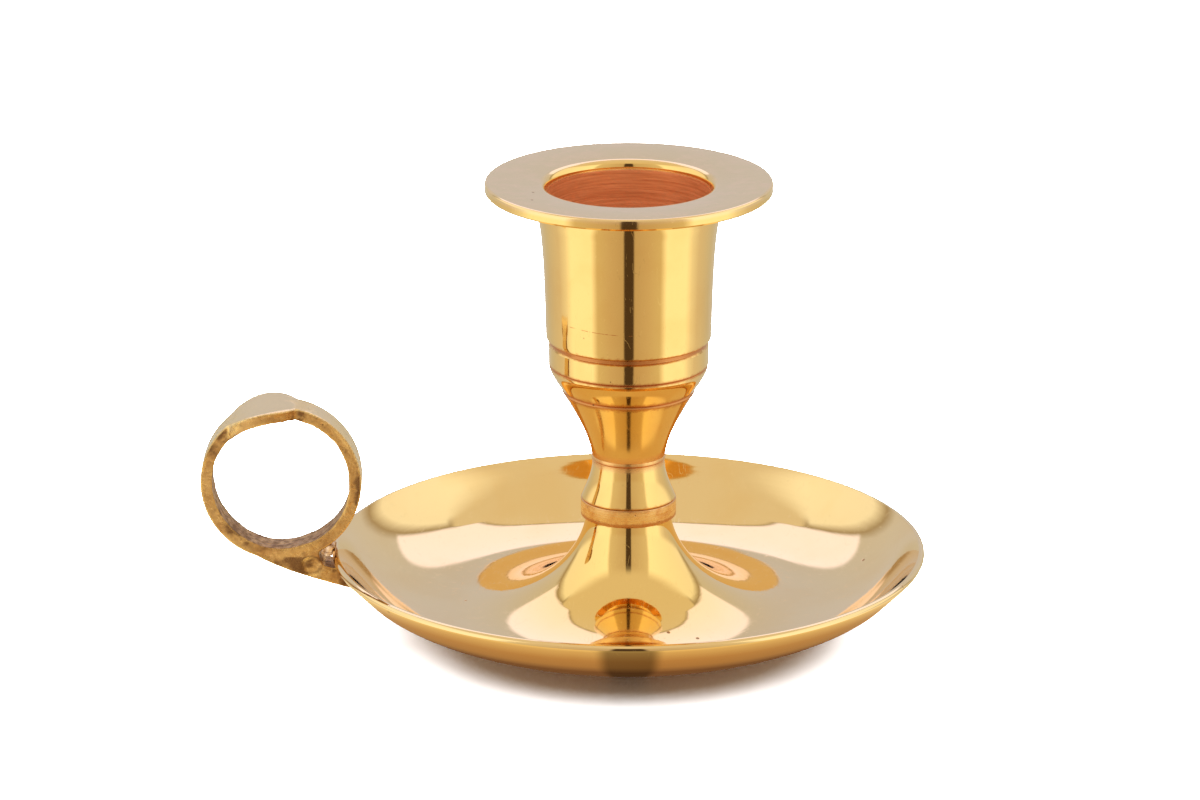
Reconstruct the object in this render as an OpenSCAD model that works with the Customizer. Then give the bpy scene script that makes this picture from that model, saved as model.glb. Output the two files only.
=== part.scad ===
// Brass chamber candlestick: a stack of turned brass pieces on a round drip pan,
// clamped by one bolt through the middle, with a cast finger ring brazed to the rim.
// The origin is the centre of the resting face, +Z is up and the handle points to -X.

/* [Whole object] */
// Height of the flange's outer edge above the table
total_h = 70; // [68:0.5:76]

/* [Drip pan] */
// Diameter over the rim
pan_d = 88.5; // [84:0.5:96]
// Height of the rim's crest above the table
rim_h = 13.4; // [12.5:0.1:15]
// Height of the pan's floor at its lowest ring
floor_h = 4.55; // [4.2:0.05:4.8]
// Radius of the lowest ring of the floor, where the foot ends
floor_r = 25.4; // [24.5:0.1:26]
// Outer radius of the flat ring that the pan rests on
rest_r = 19; // [17.5:0.5:20]
// Radius of the opening of the hollow under the foot
hollow_r = 14.5; // [12:0.5:15]

/* [Column] */
// Height of the top of the trumpet foot
foot_top_h = 18.4; // [18:0.1:18.8]
// Radius of the top of the trumpet foot
foot_top_r = 6.3; // [6.2:0.1:6.6]
// Diameter of the collar on the foot
collar_d = 14.2; // [13.6:0.1:15]
// Height of the collar
collar_h = 2.7; // [2:0.1:3.2]
// Height of the joint between the knop and the neck
knop_top_h = 27.3; // [26:0.1:28]
// Radius of the column at that joint
waist_r = 5.4; // [5:0.1:5.8]
// Height of the joint between the neck and the bowl
neck_top_h = 38; // [37.5:0.1:38.5]
// Radius of the column at that joint
neck_top_r = 9.85; // [9.4:0.05:10.2]
// Radius of the bowl's straight band
bowl_r = 11.85; // [11.6:0.05:12]
// Height of the joint between the bowl and the candle cup
bowl_top_h = 45.8; // [45.4:0.1:46.2]

/* [Candle cup] */
// Diameter of the candle bore
bore_d = 22.6; // [22:0.1:22.8]
// Height of the bore's floor above the cup's underside
cup_floor_t = 3.4; // [3.2:0.1:4]
// Length of the straight part of the bore
bore_len = 12.8; // [10:0.1:13]
// Diameter over the flange
flange_d = 42.4; // [38:0.2:48]
// Thickness of the flange's edge
flange_t = 1.7; // [1.4:0.1:2.2]
// Drop of the flange's top face from its edge to the mouth
flange_dish = 0.4; // [0:0.1:0.6]

/* [Finger handle] */
// Diameter of the finger hole
ring_bore_d = 20; // [19:0.5:21]
// Thickness of the ring's band
band_t = 2; // [1.8:0.1:2.4]
// Width of the ring's band
band_w = 5.5; // [4.5:0.1:6.5]
// Distance from the candle's axis to the ring's centre
ring_x = 51.7; // [51.4:0.1:52.5]
// Height of the ring's centre
ring_z = 23.85; // [23.6:0.1:24.6]
// Radius of the round thumb rest, seen from above
thumb_r = 5.7; // [5:0.1:6.5]

/* [Bolt, washer and nut] */
// Diameter of the tie bolt's shank
bolt_d = 4; // [3.8:0.1:4]
// Width of the nut across its flats
nut_af = 7; // [6.5:0.1:7.2]

/* [Hidden] */
$fn = 96;

curve_steps = 14;                          // straight pieces in each curve of an outline
bolt_hole_r = bolt_d / 2 + 0.2;            // the bolt passes freely through every piece
spigot_gap = 0.05;                         // play around and above each locating spigot
spigot_h = 0.8;
cup_floor_h = bowl_top_h + cup_floor_t;    // the candle stands here
bolt_head_r = 3.8;
bolt_head_h = 1.5;
head_seat_h = cup_floor_h - bolt_head_h - 0.1;
foot_roof_t = 2;                           // metal between the collar and the washer
foot_roof_h = foot_top_h - foot_roof_t;
washer_t = 0.8;
washer_r = 4.4;
nut_h = 3.2;
bolt_tail = 1.2;                           // bolt left showing below the nut
pan_r = pan_d / 2;
flange_r = flange_d / 2;
ring_r = ring_bore_d / 2 + band_t;

brass = "#d9b25c";
pale_brass = "#d8bd8c";
dull_brass = "#b98a4a";

// Cubic curve from a to d with handles b and c
function bezier(a, b, c, d) = [for (i = [0:curve_steps])
    let (t = i / curve_steps, s = 1 - t)
    s*s*s*a + 3*s*s*t*b + 3*s*t*t*c + t*t*t*d];

// Circular arc about centre c with radius r, from angle a0 to a1
function arc(c, r, a0, a1) = [for (i = [0:curve_steps])
    let (a = a0 + (a1 - a0) * i / curve_steps)
    c + r * [cos(a), sin(a)]];

// Round piece from an outline of [radius, height] points
module turned(outline) {
    rotate_extrude() polygon(outline);
}

// The bolt hole, and the recess for the spigot of the piece below
module bored(bottom, top, spigot_r = 0) {
    difference() {
        children();
        translate([0, 0, bottom - 1]) cylinder(r = bolt_hole_r, h = top - bottom + 2);
        if (spigot_r > 0)
            translate([0, 0, bottom - 1])
                cylinder(r = spigot_r + spigot_gap, h = spigot_h + spigot_gap + 1);
    }
}

// Locating spigot that stands on a joint face
module spigot(h, r) {
    translate([0, 0, h - 0.5]) cylinder(r = r, h = spigot_h + 0.5);
}

collar_spigot_r = 4.2;
knop_spigot_r = 4.2;
neck_spigot_r = 3.6;
bowl_spigot_r = 5.2;
cup_spigot_r = 8;

// Upper face of the pan: down the trumpet foot, over the floor and up to the rim's crest
crest = [pan_r - 0.85, rim_h];
foot_curve = bezier([foot_top_r, foot_top_h], [foot_top_r + 0.7, foot_top_h - 6.5],
                    [floor_r - 11.6, floor_h], [floor_r, floor_h]);
floor_curve = bezier([floor_r, floor_h], [floor_r + 11.8, floor_h],
                     crest - [3.1, 3], crest);

// Rim and underside: a rounded lip, a steep side and a bowl that ends at the resting ring
lip = [[pan_r - 0.3, rim_h - 0.12], [pan_r, rim_h - 0.65], [pan_r - 0.25, rim_h - 1.05]];
under_start = [pan_r - 3.75, rim_h - 4.55];
under_curve = bezier(under_start, under_start + [-3, -2.95],
                     [rest_r + 9, 2.6], [rest_r, 0]);

// Hollow under the foot, which holds the washer and the nut
hollow_top_r = 4.8;
hollow_curve = bezier([hollow_r, 0], [hollow_r - 2.5, 3.2],
                      [hollow_top_r + 0.6, foot_roof_h - 7], [hollow_top_r, foot_roof_h - 1.6]);

// The pan and its trumpet foot are one casting, turned all over
module drip_pan() {
    color(brass)
    bored(foot_roof_h, foot_top_h)
    turned(concat(
        [[0, foot_top_h]], foot_curve, [for (i = [1:curve_steps]) floor_curve[i]],
        lip, under_curve, hollow_curve,
        [[hollow_top_r, foot_roof_h], [0, foot_roof_h]]));
}

// Solid block with the pan's outside, for fitting the bead to it
module pan_block() {
    turned(concat([[0, rim_h], crest], lip, under_curve, [[0, 0]]));
}

// Plain band with broken edges, left rough by the polisher
module stem_collar() {
    r = collar_d / 2;
    edge = 0.2;
    top = foot_top_h + collar_h;
    color(dull_brass)
    bored(foot_top_h, top)
    union() {
        turned([[0, foot_top_h], [r - edge, foot_top_h], [r, foot_top_h + edge],
                [r, top - edge], [r - edge, top], [0, top]]);
        spigot(top, collar_spigot_r);
    }
}

// Hollow-sided knop that spreads from the waist to the collar
module stem_knop() {
    bottom = foot_top_h + collar_h;
    r = collar_d / 2 - 0.05;
    color(brass)
    bored(bottom, knop_top_h, collar_spigot_r)
    union() {
        turned(concat(
            [[0, bottom], [r - 0.2, bottom]],
            bezier([r, bottom + 0.25], [r - 0.95, bottom + 2.4],
                   [waist_r, knop_top_h - 2.4], [waist_r - 0.05, knop_top_h - 0.1]),
            [[waist_r - 0.15, knop_top_h], [0, knop_top_h]]));
        spigot(knop_top_h, neck_spigot_r);
    }
}

// Neck that flares from the waist up to the bowl
module stem_neck() {
    land = 0.45;                           // height of the plain land above the waist
    color(brass)
    bored(knop_top_h, neck_top_h, neck_spigot_r)
    union() {
        turned(concat(
            [[0, knop_top_h], [waist_r, knop_top_h], [waist_r + 0.1, knop_top_h + 0.1],
             [waist_r + 0.1, knop_top_h + land - 0.2]],
            bezier([waist_r + 0.03, knop_top_h + land], [waist_r + 0.45, knop_top_h + 3.8],
                   [neck_top_r - 2.1, neck_top_h - 3.7], [neck_top_r, neck_top_h - 0.2]),
            [[neck_top_r - 0.15, neck_top_h], [0, neck_top_h]]));
        spigot(neck_top_h, bowl_spigot_r);
    }
}

// Bowl with a straight band, a scribed line and a round lower half
module cup_bowl() {
    line_h = neck_top_h + 4;               // height of the scribed line
    line_d = 0.15;                         // its depth
    groove_h = 0.55;                       // groove left under the candle cup
    color(brass)
    bored(neck_top_h, bowl_top_h, bowl_spigot_r)
    union() {
        turned(concat(
            [[0, neck_top_h], [neck_top_r - 0.15, neck_top_h]],
            bezier([neck_top_r, neck_top_h + 0.15], [neck_top_r + 1.05, neck_top_h + 1.7],
                   [bowl_r - 0.15, line_h - 1.1], [bowl_r - 0.06, line_h - line_d]),
            [[bowl_r - line_d - 0.06, line_h], [bowl_r, line_h + line_d],
             [bowl_r, bowl_top_h - groove_h - 0.25], [bowl_r - 0.25, bowl_top_h - groove_h],
             [bowl_r - 0.25, bowl_top_h], [0, bowl_top_h]]));
        spigot(bowl_top_h, cup_spigot_r);
    }
}

// Candle cup and flange, one casting, with the candle bore
module candle_cup() {
    bore_r = bore_d / 2;
    mouth_r = bore_r + 0.9;
    lip_r = 1.15;                          // rounding of the mouth
    edge_r = 0.45;                         // rounding of the flange's upper edge
    mouth_h = total_h - flange_dish;
    under_h = total_h - flange_t;
    wall_r = bowl_r + 0.4;                 // outer radius at the foot of the cup
    shoulder_r = wall_r + 1.1;             // outer radius just under the flange
    color(pale_brass)
    difference() {
        turned(concat(
            [[0, bowl_top_h], [bowl_r, bowl_top_h], [wall_r - 0.05, bowl_top_h + 0.35],
             [wall_r, bowl_top_h + 0.6]],
            bezier([wall_r + 0.02, bowl_top_h + 1], [wall_r + 0.22, under_h - 12],
                   [wall_r + 0.5, under_h - 7], [shoulder_r, under_h - 4]),
            bezier([shoulder_r + 0.08, under_h - 3.5], [shoulder_r + 0.35, under_h - 1.6],
                   [shoulder_r + 1, under_h - 0.3], [shoulder_r + 2.4, under_h - 0.1]),
            [[flange_r - 0.3, under_h], [flange_r, under_h + 0.3]],
            arc([flange_r - edge_r, total_h - edge_r], edge_r, 0, 90),
            arc([mouth_r + lip_r, mouth_h - lip_r], lip_r, 90, 180),
            [[bore_r, cup_floor_h + bore_len], [bore_r, cup_floor_h], [0, cup_floor_h]]));
        translate([0, 0, cup_floor_h])
            cylinder(r = bore_r, h = bore_len);
        translate([0, 0, head_seat_h])
            cylinder(r = bolt_head_r + 0.15, h = cup_floor_t);
        translate([0, 0, bowl_top_h - 1])
            cylinder(r = bolt_hole_r, h = cup_floor_t + 2);
        translate([0, 0, bowl_top_h - 1])
            cylinder(r = cup_spigot_r + spigot_gap, h = spigot_h + spigot_gap + 1);
    }
}

// Slotted bolt from the floor of the candle cup down into the hollow foot
module tie_bolt() {
    slot_w = 1;
    slot_d = 0.7;
    end_h = foot_roof_h - washer_t - nut_h - bolt_tail;
    color(dull_brass)
    difference() {
        union() {
            translate([0, 0, end_h]) cylinder(d = bolt_d, h = head_seat_h - end_h + 0.5);
            translate([0, 0, head_seat_h]) cylinder(r = bolt_head_r, h = bolt_head_h);
        }
        translate([-5, -slot_w / 2, head_seat_h + bolt_head_h - slot_d]) cube([10, slot_w, 2]);
    }
}

// Plain washer under the roof of the hollow foot
module bolt_washer() {
    color(pale_brass)
    translate([0, 0, foot_roof_h - washer_t])
    difference() {
        cylinder(r = washer_r, h = washer_t);
        translate([0, 0, -1]) cylinder(r = bolt_hole_r, h = washer_t + 2);
    }
}

// Hexagon nut below the washer
module bolt_nut() {
    color(brass)
    translate([0, 0, foot_roof_h - washer_t - nut_h])
    difference() {
        cylinder(d = nut_af / cos(30), h = nut_h, $fn = 6);
        translate([0, 0, -1]) cylinder(r = bolt_d / 2 + 0.05, h = nut_h + 2);
    }
}

// Outline in the X-Z plane made into a slab of width w, centred on Y
module slab(w) {
    rotate([90, 0, 0]) translate([0, 0, -w / 2]) linear_extrude(w) children();
}

module ring_centre() {
    translate([-ring_x, ring_z]) children();
}

// Lower edge of the tongue, from inside the ring's band to the tip under the pan
tongue_tip = [-pan_r + 6.7, rim_h - 7.2];
tongue_curve = bezier([-ring_x - 9.6, ring_z - 6.2], [-ring_x - 4.6, ring_z - 13.4],
                      tongue_tip + [-8.6, 2.7], tongue_tip);

// Upper edge of the tongue: against the pan's underside, then up in front of the rim to the ring
tongue_seats = 3;                          // points of the underside that the tongue follows
tongue_gap = 0.02;
tongue_top = concat(
    [for (i = [tongue_seats:-1:0]) [-under_curve[i][0], under_curve[i][1] - tongue_gap]],
    [[-pan_r + 2, rim_h - 2.85], [-pan_r - 1.2, rim_h - 2.3], [-pan_r - 2, rim_h - 0.3],
     [-ring_x, ring_z - ring_r + 1]]);

// Cast handle: ring, thumb rest, web and the tongue that lies against the pan's underside
module finger_handle() {
    mark_r = 1.5;                          // round mark left by the casting's gate
    mark_depth = 0.3;
    color(dull_brass)
    difference() {
        intersection() {
            slab(2 * thumb_r + 1) union() {
                ring_centre() circle(r = ring_r);
                polygon(concat(tongue_curve, tongue_top));
            }
            union() {
                translate([-ring_x - 20, -band_w / 2, 0]) cube([40, band_w, total_h]);
                translate([-ring_x - 2.6, 0, ring_z + 6]) cylinder(r = thumb_r, h = 10);
            }
        }
        slab(20) ring_centre() circle(d = ring_bore_d);
        translate([-pan_r - 3.15, -band_w / 2, rim_h - 2.5]) rotate([90, 0, 0])
            cylinder(r = mark_r, h = 2 * mark_depth, center = true);
    }
}

// Bead of braze in the corner between the ring and the rim
module braze_bead() {
    bead_r = 1.25;
    color(pale_brass)
    difference() {
        translate([-pan_r - 0.7, 0, rim_h - 0.1]) rotate([90, 0, 0])
            cylinder(r = bead_r, h = band_w - 1.5, center = true);
        pan_block();
        slab(20) ring_centre() circle(r = ring_r);
    }
}

drip_pan();
stem_collar();
stem_knop();
stem_neck();
cup_bowl();
candle_cup();
tie_bolt();
bolt_washer();
bolt_nut();
finger_handle();
braze_bead();
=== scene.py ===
"""Brass chamber candlestick: the looks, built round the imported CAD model.

Lengths are in millimetres unless a name or comment says otherwise, and M turns them into Blender's
metres. Heights and outer radii come from the boxes of the CAD nodes.
"""
import math

import bmesh
import bpy
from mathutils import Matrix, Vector, noise


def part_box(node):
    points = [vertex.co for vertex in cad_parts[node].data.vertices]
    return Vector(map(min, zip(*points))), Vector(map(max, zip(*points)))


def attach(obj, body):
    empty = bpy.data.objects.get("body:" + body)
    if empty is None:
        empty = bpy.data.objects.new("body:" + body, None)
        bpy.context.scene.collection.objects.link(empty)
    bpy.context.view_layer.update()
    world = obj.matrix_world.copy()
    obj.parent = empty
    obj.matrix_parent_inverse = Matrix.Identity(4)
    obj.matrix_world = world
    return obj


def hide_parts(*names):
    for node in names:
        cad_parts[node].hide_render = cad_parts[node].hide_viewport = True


M = 0.001

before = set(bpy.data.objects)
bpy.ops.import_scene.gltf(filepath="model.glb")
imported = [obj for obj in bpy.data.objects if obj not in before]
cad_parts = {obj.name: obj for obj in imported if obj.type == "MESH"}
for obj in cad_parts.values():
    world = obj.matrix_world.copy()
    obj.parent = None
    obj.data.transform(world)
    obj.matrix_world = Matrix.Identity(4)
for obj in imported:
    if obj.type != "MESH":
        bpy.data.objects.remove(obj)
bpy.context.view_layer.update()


def extent(node):
    """Lowest and highest corners of a CAD node, in millimetres."""
    low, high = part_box(node)
    return [v / M for v in low], [v / M for v in high]


# --- Driving sizes ---------------------------------------------------------------------------

_, PAN_HIGH = extent("drip_pan")
KNOP_LOW, _ = extent("stem_knop")
NECK_LOW, _ = extent("stem_neck")
BOWL_LOW, BOWL_HIGH = extent("cup_bowl")
CUP_LOW, CUP_HIGH = extent("candle_cup")
HANDLE_LOW, HANDLE_HIGH = extent("finger_handle")

# Drip pan with its trumpet foot, hollow from below
PAN_R = PAN_HIGH[0]
FOOT_TOP_H = PAN_HIGH[2]
FOOT_TOP_R = 6.3
RIM_H = FOOT_TOP_H - 5.0
FLOOR_H = 4.55
FLOOR_R = 25.4
REST_R = 19.0
HOLLOW_R = 14.5
HOLLOW_TOP_R = 4.8
ROOF_H = FOOT_TOP_H - 2.0
BOLT_HOLE_R = 2.2

# Column, from the collar up to the bowl with its scribed line
COLLAR_R = 7.1
KNOP_BOTTOM_H = KNOP_LOW[2]
WAIST_H = NECK_LOW[2]
WAIST_R = 5.4
NECK_TOP_H = BOWL_LOW[2]
NECK_TOP_R = 9.85
BOWL_R = BOWL_HIGH[0]
LINE_H = NECK_TOP_H + 4.0
BOWL_TOP_H = CUP_LOW[2]

# Candle cup
FLANGE_R = CUP_HIGH[0]
TOP_H = CUP_HIGH[2]
BORE_R = 11.3
BORE_LENGTH = 12.8
BORE_FLOOR_H = BOWL_TOP_H + 3.4
MOUTH_R = BORE_R + 0.9
HEAD_SEAT_R = 3.95
HEAD_SEAT_H = BORE_FLOOR_H - 1.6

# Finger ring, and the round casting mark on the front of its web, as (x, z)
RING_OUTER_R = 12.0
RING_X = HANDLE_LOW[0] + RING_OUTER_R
RING_H = HANDLE_HIGH[2] - RING_OUTER_R
GATE_MARK = (-PAN_R - 3.15, RIM_H - 2.5)


# --- Outlines, as (radius, height) -------------------------------------------------------------

def bezier(a, b, c, d, steps=24):
    """Points of a cubic curve from a to d with handles b and c."""
    points = []
    for i in range(steps + 1):
        t = i / steps
        s = 1 - t
        weights = (s**3, 3 * s * s * t, 3 * s * t * t, t**3)
        points.append(tuple(sum(w * p[k] for w, p in zip(weights, (a, b, c, d))) for k in (0, 1)))
    return points


def arc(centre, radius, start_deg, end_deg, steps=12):
    """Points of a circular arc about a centre."""
    points = []
    for i in range(steps + 1):
        a = math.radians(start_deg + (end_deg - start_deg) * i / steps)
        points.append((centre[0] + radius * math.cos(a), centre[1] + radius * math.sin(a)))
    return points


def pan_outline():
    """The pan and its trumpet foot: foot, floor, lip, underside, hollow and bolt hole."""
    foot = bezier((FOOT_TOP_R, FOOT_TOP_H), (FOOT_TOP_R + 0.7, FOOT_TOP_H - 6.5),
                  (FLOOR_R - 11.6, FLOOR_H), (FLOOR_R, FLOOR_H), 60)
    crest_r = PAN_R - 0.85
    floor = bezier((FLOOR_R, FLOOR_H), (FLOOR_R + 11.8, FLOOR_H),
                   (crest_r - 3.1, RIM_H - 3), (crest_r, RIM_H), 60)
    lip = bezier((PAN_R - 0.75, RIM_H), (PAN_R - 0.35, RIM_H),
                 (PAN_R, RIM_H - 0.3), (PAN_R, RIM_H - 0.65), 8)
    side = [(PAN_R - 0.25, RIM_H - 1.05)]
    under_r = PAN_R - 3.75
    under_h = RIM_H - 4.55
    under = bezier((under_r, under_h), (under_r - 3, under_h - 2.95),
                   (REST_R + 9, 2.6), (REST_R, 0), 40)
    hollow = bezier((HOLLOW_R, 0), (HOLLOW_R - 2.5, 3.2),
                    (HOLLOW_TOP_R + 0.6, ROOF_H - 7), (HOLLOW_TOP_R, ROOF_H - 1.6))
    hole = [(HOLLOW_TOP_R, ROOF_H), (BOLT_HOLE_R, ROOF_H), (BOLT_HOLE_R, FOOT_TOP_H)]
    return foot + floor[1:] + lip + side + under + hollow + hole


def collar_outline():
    """Plain band with softly broken edges."""
    low = FOOT_TOP_H
    top = KNOP_BOTTOM_H
    r = COLLAR_R
    lower_edge = bezier((r - 0.2, low), (r - 0.05, low + 0.02), (r, low + 0.08), (r, low + 0.22), 5)
    upper_edge = bezier((r, top - 0.22), (r, top - 0.08), (r - 0.05, top - 0.02), (r - 0.2, top), 5)
    return ([(BOLT_HOLE_R, low), (r - 0.22, low)] + lower_edge + [(r, (low + top) / 2)]
            + upper_edge + [(BOLT_HOLE_R, top)])


def knop_outline():
    """Spreading knop between the waist and the collar."""
    low = KNOP_BOTTOM_H
    r = COLLAR_R - 0.05
    return ([(BOLT_HOLE_R, low), (r - 0.2, low), (r - 0.05, low + 0.06)]
            + bezier((r, low + 0.25), (r - 0.95, low + 2.4),
                     (WAIST_R, WAIST_H - 2.4), (WAIST_R - 0.05, WAIST_H - 0.1), 30)
            + [(WAIST_R - 0.15, WAIST_H), (BOLT_HOLE_R, WAIST_H)])


def neck_outline():
    """Neck from the waist up to the bowl."""
    low = WAIST_H
    return ([(BOLT_HOLE_R, low), (WAIST_R, low), (WAIST_R + 0.1, low + 0.1), (WAIST_R + 0.1, low + 0.25)]
            + bezier((WAIST_R + 0.03, low + 0.45), (WAIST_R + 0.45, low + 3.8),
                     (NECK_TOP_R - 2.1, NECK_TOP_H - 3.7), (NECK_TOP_R, NECK_TOP_H - 0.2), 40)
            + [(NECK_TOP_R - 0.15, NECK_TOP_H), (BOLT_HOLE_R, NECK_TOP_H)])


def bowl_outline():
    """Bowl with a straight band, a scribed line and a round lower half."""
    low = NECK_TOP_H
    top = BOWL_TOP_H
    return ([(BOLT_HOLE_R, low), (NECK_TOP_R - 0.15, low)]
            + bezier((NECK_TOP_R, low + 0.15), (NECK_TOP_R + 1.05, low + 1.7),
                     (BOWL_R - 0.15, LINE_H - 1.1), (BOWL_R - 0.06, LINE_H - 0.15), 30)
            + [(BOWL_R - 0.21, LINE_H), (BOWL_R, LINE_H + 0.15), (BOWL_R, top - 0.8),
               (BOWL_R - 0.25, top - 0.55), (BOWL_R - 0.25, top), (BOLT_HOLE_R, top)])


def cup_outline():
    """Candle cup with its flange, rounded mouth, candle bore and seat for the bolt's head."""
    lip_r = 1.15
    edge_r = 0.45
    mouth_h = TOP_H - 0.4
    under_h = TOP_H - 1.7
    wall_r = BOWL_R + 0.4
    shoulder_r = wall_r + 1.1
    low = BOWL_TOP_H
    return ([(BOLT_HOLE_R, low), (BOWL_R, low), (wall_r - 0.05, low + 0.35), (wall_r, low + 0.6)]
            + bezier((wall_r + 0.02, low + 1), (wall_r + 0.22, under_h - 12),
                     (wall_r + 0.5, under_h - 7), (shoulder_r, under_h - 4), 40)
            + bezier((shoulder_r + 0.08, under_h - 3.5), (shoulder_r + 0.35, under_h - 1.6),
                     (shoulder_r + 1, under_h - 0.3), (shoulder_r + 2.4, under_h - 0.1), 20)
            + [(FLANGE_R - 0.3, under_h), (FLANGE_R, under_h + 0.3)]
            + arc((FLANGE_R - edge_r, TOP_H - edge_r), edge_r, 0, 90, 10)
            + arc((MOUTH_R + lip_r, mouth_h - lip_r), lip_r, 90, 180)
            + [(BORE_R, BORE_FLOOR_H + BORE_LENGTH), (BORE_R, BORE_FLOOR_H),
               (HEAD_SEAT_R, BORE_FLOOR_H), (HEAD_SEAT_R, HEAD_SEAT_H), (BOLT_HOLE_R, HEAD_SEAT_H)])


# --- Mesh builders -----------------------------------------------------------------------------

def new_object(name, mesh):
    """Object for a mesh or lamp, linked to the scene."""
    obj = bpy.data.objects.new(name, mesh)
    bpy.context.scene.collection.objects.link(obj)
    return obj


def ring_of_vertices(bm, radius, height, segments):
    """Vertices evenly round the axis at a radius and a height."""
    ring = []
    for s in range(segments):
        a = 2 * math.pi * s / segments
        ring.append(bm.verts.new((radius * math.cos(a) * M, radius * math.sin(a) * M, height * M)))
    return ring


def turned(name, outline, segments=256, sharp_deg=32):
    """Closed ring-shaped mesh from an outline, with a UV map of turn fraction and outline length."""
    bm = bmesh.new()
    uv = bm.loops.layers.uv.new("turning")
    run = [0.0]
    for a, b in zip(outline, outline[1:] + outline[:1]):
        run.append(run[-1] + math.dist(a, b))
    rings = [ring_of_vertices(bm, radius, height, segments) for radius, height in outline]
    for i, ring in enumerate(rings):
        next_ring = rings[(i + 1) % len(rings)]
        for s in range(segments):
            t = (s + 1) % segments
            face = bm.faces.new((ring[s], ring[t], next_ring[t], next_ring[s]))
            for loop, u, v in zip(face.loops, (s, s + 1, s + 1, s),
                                  (run[i], run[i], run[i + 1], run[i + 1])):
                loop[uv].uv = (u / segments, v)
            face.smooth = True
    bmesh.ops.recalc_face_normals(bm, faces=bm.faces)
    mesh = bpy.data.meshes.new(name)
    bm.to_mesh(mesh)
    bm.free()
    mesh.set_sharp_from_angle(angle=math.radians(sharp_deg))
    return new_object(name, mesh)


# --- Node graphs --------------------------------------------------------------------------------

def colour(value):
    """A colour socket as it is, or an (r, g, b) with its fourth number."""
    if isinstance(value, bpy.types.NodeSocket):
        return value
    return (*value[:3], 1.0)


class Graph:
    """Short calls that add linked nodes to a material or a world."""

    def __init__(self, owner):
        owner.use_nodes = True
        self.tree = owner.node_tree
        self.nodes = owner.node_tree.nodes

    def feed(self, socket, value):
        """Link a socket to another node's output, or set its value."""
        if isinstance(value, bpy.types.NodeSocket):
            self.tree.links.new(value, socket)
        else:
            socket.default_value = value

    def add(self, kind, inputs, output=0, **settings):
        """New node with its settings and inputs; gives back one of its outputs."""
        node = self.nodes.new(kind)
        for key, value in settings.items():
            setattr(node, key, value)
        for key, value in inputs.items():
            self.feed(node.inputs[key], value)
        return node.outputs[output]

    def math(self, operation, a, b=0.0):
        """One step of arithmetic."""
        return self.add("ShaderNodeMath", {0: a, 1: b}, operation=operation)

    def ease(self, value, low, high, start=0.0, end=1.0):
        """Smooth step of a value from start to end between low and high."""
        return self.add("ShaderNodeMapRange", {"Value": value, "From Min": low, "From Max": high,
                                               "To Min": start, "To Max": end},
                        interpolation_type="SMOOTHSTEP")

    def mix(self, factor, a, b, blend="MIX"):
        """Blend of two colours."""
        inputs = {0: factor, 6: colour(a), 7: colour(b)}
        return self.add("ShaderNodeMix", inputs, output=2, data_type="RGBA", blend_type=blend)

    def noise(self, vector, scale, detail=2.0, roughness=0.5):
        """Smooth noise around 0.5."""
        return self.add("ShaderNodeTexNoise", {"Vector": vector, "Scale": scale, "Detail": detail,
                                               "Roughness": roughness})

    def cells(self, vector, scale, output=0):
        """Jittered cells: output 0 is the distance to a cell's point, output 1 its random colour."""
        return self.add("ShaderNodeTexVoronoi", {"Vector": vector, "Scale": scale}, output=output)

    def parts(self, vector):
        """The x, y and z of a vector."""
        x = self.add("ShaderNodeSeparateXYZ", {0: vector})
        return list(x.node.outputs)

    def join(self, x, y, z):
        """Vector from its x, y and z."""
        return self.add("ShaderNodeCombineXYZ", {0: x, 1: y, 2: z})

    def length(self, x, y):
        """Length of the flat vector (x, y)."""
        squares = self.math("ADD", self.math("MULTIPLY", x, x), self.math("MULTIPLY", y, y))
        return self.math("SQRT", squares)

    def ramp(self, value, stops):
        """Colour ramp from (place, colour) stops."""
        out = self.add("ShaderNodeValToRGB", {0: value})
        elements = out.node.color_ramp.elements
        for place, tone in stops[1:-1]:
            elements.new(place).color = colour(tone)
        elements[0].position, elements[0].color = stops[0][0], colour(stops[0][1])
        elements[-1].position, elements[-1].color = stops[-1][0], colour(stops[-1][1])
        return out


# --- Materials ----------------------------------------------------------------------------------

GOLDEN = (0.90, 0.62, 0.235)
GOLDEN_CUP_CLOUD = (0.86, 0.55, 0.19)
GOLDEN_CLOUD = (0.87, 0.54, 0.19)
HAZE = (0.93, 0.58, 0.24)
# Tone of the polished ring; on the cup's flange top and the pan's floor it also paints the sheen of
# glancing light
CHAMPAGNE = (0.90, 0.66, 0.33)
CHAMPAGNE_MOTTLE = (0.94, 0.67, 0.35)
CHAMPAGNE_CLOUD = (0.88, 0.60, 0.26)
COPPER = (0.42, 0.135, 0.045)
COPPER_BRIGHT = (0.58, 0.23, 0.095)
RESIDUE = (0.60, 0.24, 0.08)
PIT = (0.30, 0.15, 0.06)
PIT_PALE = (0.42, 0.23, 0.09)
STAINED = (1.0, 0.70, 0.33)
STAINED_CLOUD = (0.80, 0.40, 0.15)
STAINED_PIT = (0.45, 0.19, 0.07)
CAST = (0.60, 0.345, 0.125)
CAST_CLOUD = (0.44, 0.21, 0.07)
# Bright edge tone: partly real wear, partly a painted highlight on the rounded edges
CAST_WORN_HIGHLIGHT = (0.92, 0.60, 0.22)
# Brown tarnish, also used for the painted shadow under the handle's thumb pad
TARNISH_AND_PAD_SHADE = (0.24, 0.115, 0.045)
BRAZE = (0.86, 0.62, 0.46)
BRAZE_CLOUD = (0.35, 0.17, 0.08)
MACHINED = (0.82, 0.54, 0.22)
MACHINED_CLOUD = (0.45, 0.24, 0.09)


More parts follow.
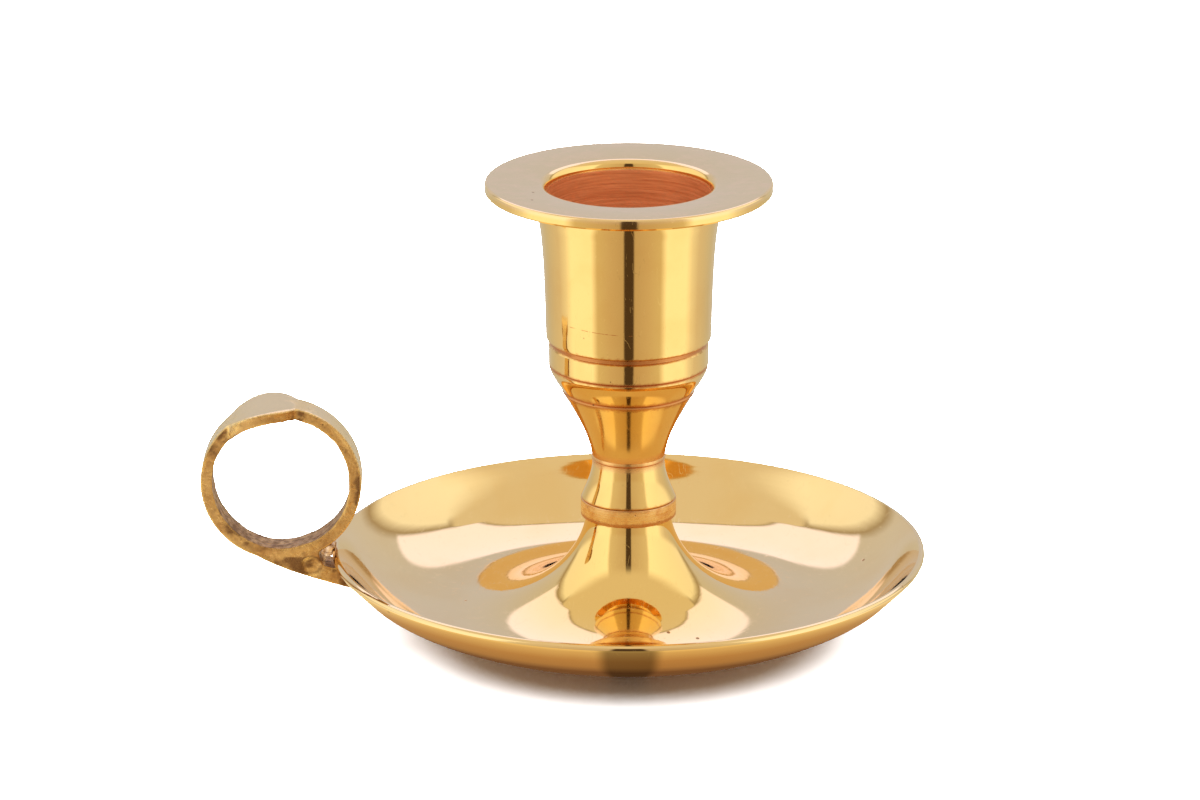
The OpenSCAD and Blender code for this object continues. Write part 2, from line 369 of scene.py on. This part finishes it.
class Metal(Graph):
    """Metal material: the surface's coordinates, and colour, gloss and relief laid up in layers."""

    def __init__(self, name, tone, rough):
        self.material = bpy.data.materials.new(name)
        super().__init__(self.material)
        self.shader = self.nodes["Principled BSDF"]
        metres = self.add("ShaderNodeTexCoord", {}, output=3)
        self.place = self.add("ShaderNodeVectorMath", {0: metres, "Scale": 1 / M}, operation="SCALE")
        self.x, self.y, self.z = self.parts(self.place)
        self.tone = tone
        self.rough = rough
        self.metallic = 1.0
        self.relief = []

    def layer(self, mask, tone, rough=None):
        """Lay a colour and a roughness over what is there, where the mask is 1."""
        self.tone = self.mix(mask, self.tone, tone)
        if rough is not None:
            self.rough = self.add("ShaderNodeMix", {0: mask, 2: self.rough, 3: rough})

    def bump(self, height, depth):
        """Add relief: height 0 to 1 stands for a depth in millimetres."""
        self.relief.append((height, depth))

    def rings(self, pitch, drift, detail, roughness):
        """Noise that changes fast along the outline, at a pitch, and slowly round the axis."""
        turn, along, _ = self.parts(self.add("ShaderNodeUVMap", {}, uv_map="turning"))
        angle = self.math("MULTIPLY", turn, 2 * math.pi)
        place = self.join(self.math("DIVIDE", along, pitch),
                          self.math("MULTIPLY", self.math("COSINE", angle), drift),
                          self.math("MULTIPLY", self.math("SINE", angle), drift))
        return self.noise(place, 1.0, detail, roughness)

    def finish(self):
        """Join the layers to the shader."""
        self.feed(self.shader.inputs["Base Color"], colour(self.tone))
        self.feed(self.shader.inputs["Roughness"], self.rough)
        self.feed(self.shader.inputs["Metallic"], self.metallic)
        normal = None
        for height, depth in self.relief:
            inputs = {"Strength": 1.0, "Distance": depth * M, "Height": height}
            if normal:
                inputs["Normal"] = normal
            normal = self.add("ShaderNodeBump", inputs)
        if normal:
            self.feed(self.shader.inputs["Normal"], normal)
        return self.material


def lathe_lines(metal, pitch, depth, gloss_low, gloss_high):
    """Fine rings left by the turning tool and the polishing mop."""
    fine = metal.rings(pitch, 0.6, 3.0, 0.6)
    metal.bump(fine, depth)
    metal.rough = metal.ease(fine, 0.25, 0.75, gloss_low, gloss_high)
    return fine


def cloud(metal, size, tone, amount):
    """Slow changes of tone in the alloy and its thin oxide, in patches of a size."""
    patch = metal.noise(metal.place, 1 / size, 3.0, 0.55)
    metal.layer(metal.ease(patch, 0.45, 0.7, 0.0, amount), tone)


def specks(metal, spacing, size, share, tone=PIT, depth=0.02):
    """Small dark pits, in a share of the cells of a jittered pattern."""
    distance = metal.cells(metal.place, 1 / spacing)
    chance = metal.parts(metal.cells(metal.place, 1 / spacing, output=1))[0]
    chosen = metal.math("LESS_THAN", chance, share)
    dot = metal.math("MULTIPLY", metal.ease(distance, size * 0.5, size, 1.0, 0.0), chosen)
    metal.layer(dot, tone, 0.45)
    metal.bump(metal.math("SUBTRACT", 1.0, dot), depth)


def residue(metal, height, reach, strength=1.0):
    """Reddish polish residue that stays in the groove at a height."""
    offset = metal.math("ABSOLUTE", metal.math("SUBTRACT", metal.z, height))
    ragged = metal.noise(metal.place, 1.3, 4.0, 0.65)
    width = metal.math("MULTIPLY", ragged, 2 * reach)
    covered = metal.ease(metal.math("DIVIDE", offset, width), 0.15, 1.0, 1.0, 0.0)
    metal.layer(metal.math("MULTIPLY", covered, strength), RESIDUE, 0.3)


def hairlines(metal, depth):
    """Sparse fine scratches in all directions."""
    warped = metal.add("ShaderNodeVectorMath", {0: metal.place, 1: (1.0, 0.35, 0.2)},
                       operation="MULTIPLY")
    band = metal.math("ABSOLUTE", metal.math("SUBTRACT", metal.noise(warped, 1.1, 0.0), 0.5))
    patch = metal.ease(metal.noise(metal.place, 0.7, 2.0), 0.5, 0.6)
    mask = metal.math("MULTIPLY", metal.ease(band, 0.0, 0.004, 1.0, 0.0), patch)
    metal.bump(metal.math("SUBTRACT", 1.0, mask), depth)


def scratch(metal, height, drop, start, end):
    """One long thin scratch round the front; start and end are degrees from straight ahead."""
    angle = metal.math("ARCTAN2", metal.x, metal.math("MULTIPLY", metal.y, -1.0))
    turn = metal.math("MULTIPLY", angle, 180 / math.pi)
    line = metal.ease(turn, start, end, height, height - drop)
    offset = metal.math("ABSOLUTE", metal.math("SUBTRACT", metal.z, line))
    inside = metal.math("MULTIPLY", metal.math("GREATER_THAN", turn, start),
                        metal.math("LESS_THAN", turn, end))
    broken = metal.ease(metal.noise(metal.place, 1.2, 3.0), 0.42, 0.55)
    close = metal.math("MULTIPLY", metal.ease(offset, 0.02, 0.07, 1.0, 0.0), inside)
    metal.layer(metal.math("MULTIPLY", close, broken), RESIDUE, 0.3)


def in_bore(metal):
    """1 in the candle bore up to its mouth, else 0."""
    narrow = metal.math("LESS_THAN", metal.length(metal.x, metal.y), MOUTH_R + 0.03)
    below_mouth = metal.ease(metal.z, TOP_H - 1.5, TOP_H - 1.9)
    above_seat = metal.math("GREATER_THAN", metal.z, HEAD_SEAT_H - 0.4)
    return metal.math("MULTIPLY", metal.math("MULTIPLY", narrow, below_mouth), above_seat)


def polished_cup():
    """Candle cup: golden outside, a champagne flange top whose paler tone paints the sheen of light
    glancing off it, copper-toned bore with coarse tool rings.
    """
    metal = Metal("polished_cup", GOLDEN, 0.05)
    fine = lathe_lines(metal, 0.16, 0.0006, 0.035, 0.075)
    cloud(metal, 9.0, GOLDEN_CUP_CLOUD, 0.5)
    # Paler champagne on the flange top: painted sheen of light glancing off the flat top, with a real
    # mottle
    flange_top_sheen = metal.ease(metal.z, TOP_H - 0.9, TOP_H - 0.35)
    mottle = metal.ease(metal.noise(metal.place, 0.35, 4.0, 0.6), 0.4, 0.65)
    metal.layer(flange_top_sheen, metal.mix(mottle, CHAMPAGNE, CHAMPAGNE_MOTTLE),
                metal.ease(fine, 0.2, 0.8, 0.06, 0.12))
    bore = in_bore(metal)
    tool_rings = metal.rings(1 / 3.2, 1.4, 4.0, 0.7)
    metal.layer(bore, metal.mix(metal.ease(tool_rings, 0.3, 0.7), COPPER, COPPER_BRIGHT), 0.28)
    metal.bump(metal.math("MULTIPLY", tool_rings, bore), 0.03)
    metal.metallic = metal.ease(bore, 0.0, 1.0, 1.0, 0.85)
    residue(metal, BOWL_TOP_H - 0.1, 0.75)
    scratch(metal, BOWL_TOP_H + 4.4, 0.35, -50.0, 8.0)
    specks(metal, 3.6, 0.07, 0.16)
    hairlines(metal, 0.004)
    return metal.finish()


def polished_turning(name, grooves, cloudy=0.5, gloss=(0.035, 0.08), haze=None):
    """Golden turned piece with residue in its grooves, given as (height, reach, strength).

    The haze is a dull band, given as its height and its reach.
    """
    metal = Metal(name, GOLDEN, 0.05)
    lathe_lines(metal, 0.16, 0.0006, *gloss)
    cloud(metal, 6.0, GOLDEN_CLOUD, cloudy)
    if haze:
        height, reach = haze
        away = metal.math("ABSOLUTE", metal.math("SUBTRACT", metal.z, height))
        metal.layer(metal.ease(away, reach * 1.2, reach * 0.6), HAZE, 0.26)
    for groove in grooves:
        residue(metal, *groove)
    specks(metal, 2.8, 0.07, 0.16)
    hairlines(metal, 0.004)
    return metal.finish()


def polished_bowl():
    """Bowl, with residue at its joints and in its scribed line."""
    return polished_turning("polished_bowl", ((NECK_TOP_H, 0.9, 0.9), (LINE_H, 0.5, 0.9),
                                              (BOWL_TOP_H - 0.3, 0.6, 1.0)))


def polished_neck():
    """Neck, duller than the rest and hazy at the waist."""
    return polished_turning("polished_neck", ((NECK_TOP_H, 1.0, 0.9), (WAIST_H, 0.6, 0.55)),
                            cloudy=0.35, gloss=(0.09, 0.14), haze=(WAIST_H, 1.6))


def polished_knop():
    """Knop, hazy at the waist."""
    return polished_turning("polished_knop", ((WAIST_H, 0.6, 0.4), (KNOP_BOTTOM_H, 0.5, 0.8)),
                            haze=(WAIST_H, 1.0))


def polished_pan():
    """Drip pan: champagne, whose paler tone paints the sheen of light glancing off the flat floor, with a
    golden foot and soft waves in its polish.
    """
    metal = Metal("polished_pan", CHAMPAGNE, 0.05)
    lathe_lines(metal, 0.35, 0.0009, 0.03, 0.07)
    metal.bump(metal.rings(1 / 0.55, 1.5, 2.0, 0.4), 0.012)
    cloud(metal, 14.0, CHAMPAGNE_CLOUD, 0.5)
    # The paler champagne outside the foot is painted sheen on the flat floor; the foot keeps the golden
    # tone
    foot = metal.ease(metal.length(metal.x, metal.y), 24.0, 12.0)
    metal.layer(foot, GOLDEN)
    residue(metal, FOOT_TOP_H, 0.35, 0.8)
    specks(metal, 5.0, 0.07, 0.16, tone=PIT_PALE)
    hairlines(metal, 0.004)
    return metal.finish()


def stained_collar():
    """Dull orange band, scratched and pitted."""
    metal = Metal("stained_collar", STAINED, 0.3)
    lathe_lines(metal, 0.22, 0.006, 0.2, 0.42)
    cloud(metal, 1.6, STAINED_CLOUD, 0.7)
    specks(metal, 0.9, 0.16, 0.35, tone=STAINED_PIT, depth=0.04)
    residue(metal, FOOT_TOP_H + 0.3, 0.5, 0.8)
    residue(metal, KNOP_BOTTOM_H, 0.4, 0.6)
    return metal.finish()


def stored(metal, name):
    """A number that the mesh holds at each vertex."""
    return metal.add("ShaderNodeAttribute", {}, output=2, attribute_name=name)


def cast_brass():
    """Rough casting: tarnish in its hollows and a painted shadow under the thumb pad, bright worn edges
    that are partly a painted highlight, polished where the mesh says so.
    """
    metal = Metal("cast_brass", CAST, 0.3)
    grain = metal.noise(metal.place, 1.8, 5.0, 0.65)
    fine = metal.noise(metal.place, 7.0, 4.0, 0.75)
    metal.rough = metal.ease(grain, 0.3, 0.7, 0.22, 0.4)
    cloud(metal, 3.6, CAST_CLOUD, 0.8)
    # The tarnish layer also carries a painted shadow on the band under the thumb pad
    skin_and_pad_shadow = metal.math("MULTIPLY", stored(metal, "tarnish_and_pad_shadow"), metal.ease(fine, 0.25, 0.55, 0.55, 1.0))
    metal.layer(skin_and_pad_shadow, TARNISH_AND_PAD_SHADE, 0.5)
    # Bright edges: partly real wear, partly a painted highlight along the rounded edges
    metal.layer(stored(metal, "worn_and_highlight"), CAST_WORN_HIGHLIGHT, 0.2)
    polish = stored(metal, "polish")
    metal.layer(polish, CHAMPAGNE, metal.ease(grain, 0.3, 0.7, 0.12, 0.2))
    unpolished = metal.math("SUBTRACT", 1.0, polish)
    metal.bump(metal.math("MULTIPLY", grain, unpolished), 0.16)
    metal.bump(metal.math("MULTIPLY", fine, metal.math("ADD", skin_and_pad_shadow, 0.15)), 0.09)
    specks(metal, 2.4, 0.09, 0.15)
    return metal.finish()


def pale_braze():
    """Grainy pale braze with brown stains."""
    metal = Metal("braze", BRAZE, 0.3)
    grain = metal.noise(metal.place, 3.0, 4.0, 0.6)
    metal.bump(grain, 0.06)
    metal.rough = metal.ease(grain, 0.3, 0.7, 0.22, 0.45)
    cloud(metal, 0.9, BRAZE_CLOUD, 0.8)
    return metal.finish()


def machined_brass():
    """Plain brass screw stock, drawn bright and gone slightly brown."""
    metal = Metal("machined_brass", MACHINED, 0.2)
    stretched = metal.join(metal.math("MULTIPLY", metal.x, 0.3), metal.math("MULTIPLY", metal.y, 0.3),
                           metal.math("MULTIPLY", metal.z, 5.0))
    drawn = metal.noise(stretched, 1.0, 3.0, 0.6)
    metal.bump(drawn, 0.01)
    metal.rough = metal.ease(drawn, 0.3, 0.7, 0.14, 0.3)
    cloud(metal, 1.5, MACHINED_CLOUD, 0.7)
    return metal.finish()


# --- Turned pieces ------------------------------------------------------------------------------

def hand_over(piece, node, material):
    """Give a piece its material, and put it in the place of a CAD node."""
    piece.data.materials.append(material)
    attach(piece, "root")
    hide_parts(node)


def turned_pieces():
    """The six pieces turned on the lathe, each with its own material."""
    rows = (("drip_pan", pan_outline(), polished_pan(), "polished_brass"),
            ("stem_collar", collar_outline(), stained_collar(), "stained_brass"),
            ("stem_knop", knop_outline(), polished_knop(), "polished_brass"),
            ("stem_neck", neck_outline(), polished_neck(), "polished_brass"),
            ("cup_bowl", bowl_outline(), polished_bowl(), "polished_brass"),
            ("candle_cup", cup_outline(), polished_cup(), "polished_brass"))
    for node, outline, material, slot in rows:
        hand_over(turned(node + "_turned", outline), node, material)


# --- Cast pieces --------------------------------------------------------------------------------

def remeshed(node, name, voxel):
    """Copy of a CAD node as an even mesh of small faces."""
    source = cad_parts[node]
    copy = new_object(name, source.data.copy())
    copy.data.transform(source.matrix_world)
    modifier = copy.modifiers.new("even", "REMESH")
    modifier.mode = "VOXEL"
    modifier.voxel_size = voxel * M
    depsgraph = bpy.context.evaluated_depsgraph_get()
    mesh = bpy.data.meshes.new_from_object(copy.evaluated_get(depsgraph))
    mesh.materials.clear()
    copy.modifiers.clear()
    copy.data = mesh
    return copy


def shaped(piece, smooth_rounds, sink):
    """Smooth a mesh a little, then move each vertex inward by sink(place, normal) millimetres."""
    bm = bmesh.new()
    bm.from_mesh(piece.data)
    for _ in range(smooth_rounds):
        bmesh.ops.smooth_vert(bm, verts=bm.verts, factor=0.5,
                              use_axis_x=True, use_axis_y=True, use_axis_z=True)
    bm.normal_update()
    steps = [(v, -sink(v.co / M, v.normal) * M) for v in bm.verts]
    for vertex, step in steps:
        vertex.co += vertex.normal * step
    for face in bm.faces:
        face.smooth = True
    bm.to_mesh(piece.data)
    bm.free()


def fractal(place, scale, seed):
    """Noise from about -1 to 1 at a scale in millimetres."""
    return noise.fractal(place / scale + Vector((seed, seed, seed)), 0.8, 2.0, 4)


def mark(piece, name, value):
    """Store a number from 0 to 1 on each vertex for the material to read."""
    layer = piece.data.attributes.new(name, "FLOAT", "POINT")
    normals = [v.normal.copy() for v in piece.data.vertices]
    for i, vertex in enumerate(piece.data.vertices):
        layer.data[i].value = max(0.0, min(1.0, value(vertex.co / M, normals[i])))


def ring_radius(place):
    """Distance from the ring's axis."""
    return math.hypot(place.x - RING_X, place.z - RING_H)


def ring_angle(place):
    """Angle round the ring's axis in radians, 0 towards the candle and rising upwards."""
    return math.atan2(place.z - RING_H, place.x - RING_X)


def outward(place, normal):
    """How much a surface faces away from the ring's axis, from -1 to 1."""
    r = max(ring_radius(place), 0.1)
    return (normal.x * (place.x - RING_X) + normal.z * (place.z - RING_H)) / r


def near(turn, centre, reach):
    """From 1 at the centre of an arc to 0 at its ends, in degrees."""
    return max(0.0, 1 - abs(turn - centre) / reach)


def file_marks(place, normal):
    """How deep the hand-filed sides and bore lie below the CAD surface; the outside is left."""
    side = max(0.0, 1 - max(0.0, outward(place, normal)) * 1.6)
    grain = 0.10 * (0.5 + 0.5 * fractal(place, 1.6, 3))
    dents = 0.16 * (0.5 + 0.5 * fractal(place, 5.0, 7))
    strokes = 0.12 * abs(math.sin(2.6 * ring_angle(place)))
    return side * (grain + dents + strokes)


def polish(place, normal):
    """The ring's outside is polished, down to where the web begins."""
    web_top_h = 15
    on_ring = 1.0 if ring_radius(place) > RING_OUTER_R - 0.9 and place.z > web_top_h else 0.0
    return on_ring * (outward(place, normal) - 0.4) * 6


def worn_and_highlight(place, normal):
    """Edges are worn bright, in broken stretches; the bright rim on the rounded edges is partly a painted
    highlight.
    """
    edge = 1 - abs(abs(outward(place, normal)) - 0.45) * 3.6
    return edge * (0.9 + 0.7 * fractal(place, 1.5, 11))


def tarnish_and_pad_shadow(place, normal):
    """Brown skin in the bore, on the web, round the casting mark and in a few stretches of the side; the
    stretch at 140 degrees, on the band under the thumb pad, is painted shadow.
    """
    bore = (-1.6 * outward(place, normal) - 0.8) * (0.6 + 1.1 * fractal(place, 0.9, 31))
    web = 0.9 if place.z < RING_H - RING_OUTER_R + 0.5 else 0.0
    mark_distance = math.hypot(place.x - GATE_MARK[0], place.z - GATE_MARK[1])
    gate = 0.6 if 1.2 < mark_distance < 1.7 else 0.0
    turn = math.degrees(ring_angle(place))
    outer = max(0.0, min(1.0, ring_radius(place) - 10.6))
    # The stretch at 140 degrees, on the band under the thumb pad, is painted shadow; the others are stains
    stains_and_pad_shadow = (1.1 * near(turn, 140, 26) + near(turn, 72, 12) + 1.2 * near(turn, -5, 34) * outer
              + 0.8 * near(turn, -125, 30) * (1 - outer))
    patches = 1.4 * fractal(place, 2.0, 23) - 0.5 + stains_and_pad_shadow * (1.5 + 1.2 * fractal(place, 1.0, 41))
    return max(bore, web + gate + patches)


def cast_handle():
    """Cast ring with a polished outside and rough, hand-filed sides."""
    piece = remeshed("finger_handle", "finger_handle_cast", 0.22)
    shaped(piece, 6, file_marks)
    mark(piece, "polish", polish)
    mark(piece, "worn_and_highlight", worn_and_highlight)
    mark(piece, "tarnish_and_pad_shadow", tarnish_and_pad_shadow)
    hand_over(piece, "finger_handle", cast_brass())


def braze_lumps(place, _normal):
    """How deep the bead's uneven surface lies below the CAD surface."""
    return 0.12 + 0.12 * fractal(place, 0.8, 5)


def braze():
    """Lumpy bead of pale braze in the corner between the ring and the rim."""
    piece = remeshed("braze_bead", "braze_bead_lumpy", 0.12)
    shaped(piece, 5, braze_lumps)
    hand_over(piece, "braze_bead", pale_braze())


def screw_stock():
    """The CAD nodes that stay get the machined finish."""
    material = machined_brass()
    for node in ("tie_bolt", "bolt_washer", "bolt_nut"):
        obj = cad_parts[node]
        obj.data.materials.clear()
        obj.data.materials.append(material)


# --- Studio -------------------------------------------------------------------------------------

SLOT = (0.085, 0.055, 0.035)
WARM = (0.70, 0.57, 0.40)
SOFTBOX = (1.30, 1.30, 1.14)
BACK_PANEL = (1.25, 1.25, 1.70)
CANOPY = (0.84, 0.76, 0.60)
SEAM = (0.45, 0.38, 0.28)
BRIGHTEST = 1.8

# The surroundings by azimuth in degrees from straight in front, level with the table and above it:
# a dark gap in the middle of a warm room, then a softbox on each side, then the grey back
LOW_ROOM = ((0, SLOT), (5.5, SLOT), (7.5, (0.62, 0.49, 0.34)), (25, WARM), (42, (0.78, 0.68, 0.47)),
            (51, SOFTBOX), (82, SOFTBOX), (92, (1.0, 0.98, 0.88)), (105, (0.80, 0.74, 0.66)),
            (135, (0.66, 0.64, 0.56)), (180, (0.64, 0.61, 0.54)))
HIGH_ROOM = ((0, SLOT), (5.5, SLOT), (7.5, (0.68, 0.57, 0.42)), (25, (0.74, 0.64, 0.48)),
             (45, (0.82, 0.74, 0.56)), (51, SOFTBOX), (128, (1.10, 1.10, 1.02)), (135, SEAM),
             (140, (0.70, 0.71, 0.78)), (180, (0.64, 0.66, 0.78)))

# The table's reflection as the brass sees it, painted by distance from the axis: painted shadow under the
# pan, bright further out
PAN_SHADOW_REFLECTION = ((0, (0.10, 0.05, 0.02)), (30, (0.20, 0.09, 0.035)), (39, (0.55, 0.32, 0.13)),
             (47, (1.10, 0.90, 0.46)), (100, (1.10, 0.90, 0.46)))
UNDER_PAN_REACH = 100

FLOOR_REACH = 3000.0
FLOOR_WHITE = (0.89, 0.91, 0.96)


def front_azimuth(graph, x, y):
    """Degrees round the object from straight in front, the same to the left and the right."""
    angle = graph.math("ARCTAN2", x, graph.math("MULTIPLY", y, -1.0))
    return graph.math("MULTIPLY", graph.math("ABSOLUTE", angle), 180 / math.pi)


def dimmed(tone):
    """A light's colour as a share of the brightest."""
    return [v / BRIGHTEST for v in tone]


def by_place(graph, value, reach, stops):
    """Light from (place, colour) stops, where places run from 0 to a reach."""
    return graph.ramp(graph.math("DIVIDE", value, reach), [(p / reach, dimmed(tone)) for p, tone in stops])


def surroundings():
    """Light tent round the object, by direction: room, softboxes, back panel and canopy."""
    world = bpy.data.worlds.new("studio")
    bpy.context.scene.world = world
    graph = Graph(world)
    x, y, z = graph.parts(graph.add("ShaderNodeTexCoord", {}))
    rise = graph.math("MULTIPLY", graph.math("ARCSINE", z), 180 / math.pi)
    azimuth = front_azimuth(graph, x, y)
    light = graph.mix(graph.ease(rise, 2.0, 10.0), by_place(graph, azimuth, 180.0, LOW_ROOM),
                      by_place(graph, azimuth, 180.0, HIGH_ROOM))
    behind = graph.ease(azimuth, 135.0, 139.0)
    panel = graph.math("MULTIPLY", behind, graph.ease(rise, 28.0, 30.0))
    light = graph.mix(panel, light, dimmed(BACK_PANEL))
    # The canopy's lower edge is higher and sharper behind than it is at the sides
    canopy_edge = graph.ease(behind, 0.0, 1.0, 48.0, 55.0)
    above = graph.math("SUBTRACT", rise, canopy_edge)
    blur = graph.ease(azimuth, 95.0, 135.0, 9.0, 1.2)
    seam = graph.math("MULTIPLY", graph.ease(above, -1.6, 0.0), graph.ease(azimuth, 118.0, 134.0))
    light = graph.mix(seam, light, dimmed(SEAM))
    light = graph.mix(graph.ease(graph.math("DIVIDE", above, blur), -0.5, 1.0), light, dimmed(CANOPY))
    background = graph.nodes["Background"]
    graph.feed(background.inputs["Color"], light)
    background.inputs["Strength"].default_value = BRIGHTEST


def floor_paint():
    """Plain pale paint."""
    material = bpy.data.materials.new("floor_white")
    graph = Graph(material)
    graph.feed(graph.nodes["Principled BSDF"].inputs["Base Color"], colour(FLOOR_WHITE))
    return material


def mirrored_light():
    """Painted reflection of the table, as a glow: a painted shadow under the pan, darker still straight in
    front, and lit like the room further out.
    """
    material = bpy.data.materials.new("painted_table_reflection")
    graph = Graph(material)
    x, y, _ = graph.parts(graph.add("ShaderNodeTexCoord", {}, output=3))
    metres = graph.length(x, y)
    azimuth = front_azimuth(graph, x, y)
    under = by_place(graph, graph.math("DIVIDE", metres, M), UNDER_PAN_REACH, PAN_SHADOW_REFLECTION)
    # Painted shade: the shadow under the pan is darker straight in front
    painted_front_shade = graph.ease(azimuth, 5.0, 9.0, 0.4, 1.0)
    under = graph.mix(1.0, under, graph.join(painted_front_shade, painted_front_shade, painted_front_shade), "MULTIPLY")
    light = graph.mix(graph.ease(metres, 46 * M, 62 * M), under,
                      by_place(graph, azimuth, 180.0, LOW_ROOM))
    emission = graph.add("ShaderNodeEmission", {"Color": light, "Strength": BRIGHTEST})
    graph.feed(graph.nodes["Material Output"].inputs["Surface"], emission)
    return material


def stage_object(name, bm, material):
    """Part of the studio from a bmesh."""
    obj = new_object(name, bpy.data.meshes.new(name))
    bm.to_mesh(obj.data)
    bm.free()
    obj.data.materials.append(material)
    return obj


def floor(paint):
    """Pale floor, which the brass doesn't mirror."""
    bm = bmesh.new()
    bmesh.ops.create_grid(bm, x_segments=1, y_segments=1, size=FLOOR_REACH * M)
    obj = stage_object("floor", bm, paint)
    obj.visible_glossy = False


def backdrop(paint):
    """Pale wall far behind the table, which only the camera sees."""
    wall_r = 2900 * M
    wall_h = 4000 * M
    sunk = 100 * M
    bm = bmesh.new()
    bmesh.ops.create_cone(bm, segments=96, radius1=wall_r, radius2=wall_r, depth=wall_h)
    for vertex in bm.verts:
        vertex.co.z += wall_h / 2 - sunk
    wall = stage_object("backdrop", bm, paint)
    wall.visible_diffuse = False
    wall.visible_glossy = False
    wall.visible_transmission = False
    wall.visible_shadow = False


def mirrored_table(segments=96):
    """What the polished brass mirrors in place of the floor: a flat glowing ring lit from both sides, a
    painted reflection of the table with a painted shadow under the pan.
    """
    inner = 1.0
    height = 0.05
    bm = bmesh.new()
    rings = [ring_of_vertices(bm, radius, height, segments) for radius in (inner, FLOOR_REACH)]
    for s in range(segments):
        t = (s + 1) % segments
        bm.faces.new((rings[0][s], rings[1][s], rings[1][t], rings[0][t]))
    glow = stage_object("painted_table_reflection", bm, mirrored_light())
    glow.visible_camera = False
    glow.visible_diffuse = False
    glow.visible_shadow = False


def fill():
    """Overhead light that whitens the table without showing in the brass."""
    data = bpy.data.lights.new("fill", "AREA")
    data.shape = "DISK"
    data.size = 5000 * M
    data.energy = 800.0
    lamp = new_object("fill", data)
    lamp.location = (0, 0, 1500 * M)
    lamp.visible_glossy = False


def camera():
    """Camera with a long lens, in front and looking slightly down."""
    pitch = math.radians(17.85)
    distance = 882 * M
    aim = Vector((-4.24, 0, 36.14)) * M
    data = bpy.data.cameras.new("camera")
    data.lens = 178.3
    data.sensor_width = 36
    obj = new_object("camera", data)
    obj.location = aim + distance * Vector((0, -math.cos(pitch), math.sin(pitch)))
    obj.rotation_euler = (math.pi / 2 - pitch, 0, 0)
    bpy.context.scene.camera = obj


turned_pieces()
cast_handle()
braze()
screw_stock()
surroundings()
white = floor_paint()
floor(white)
backdrop(white)
mirrored_table()
fill()
camera()
bpy.context.scene.view_settings.view_transform = "Standard"
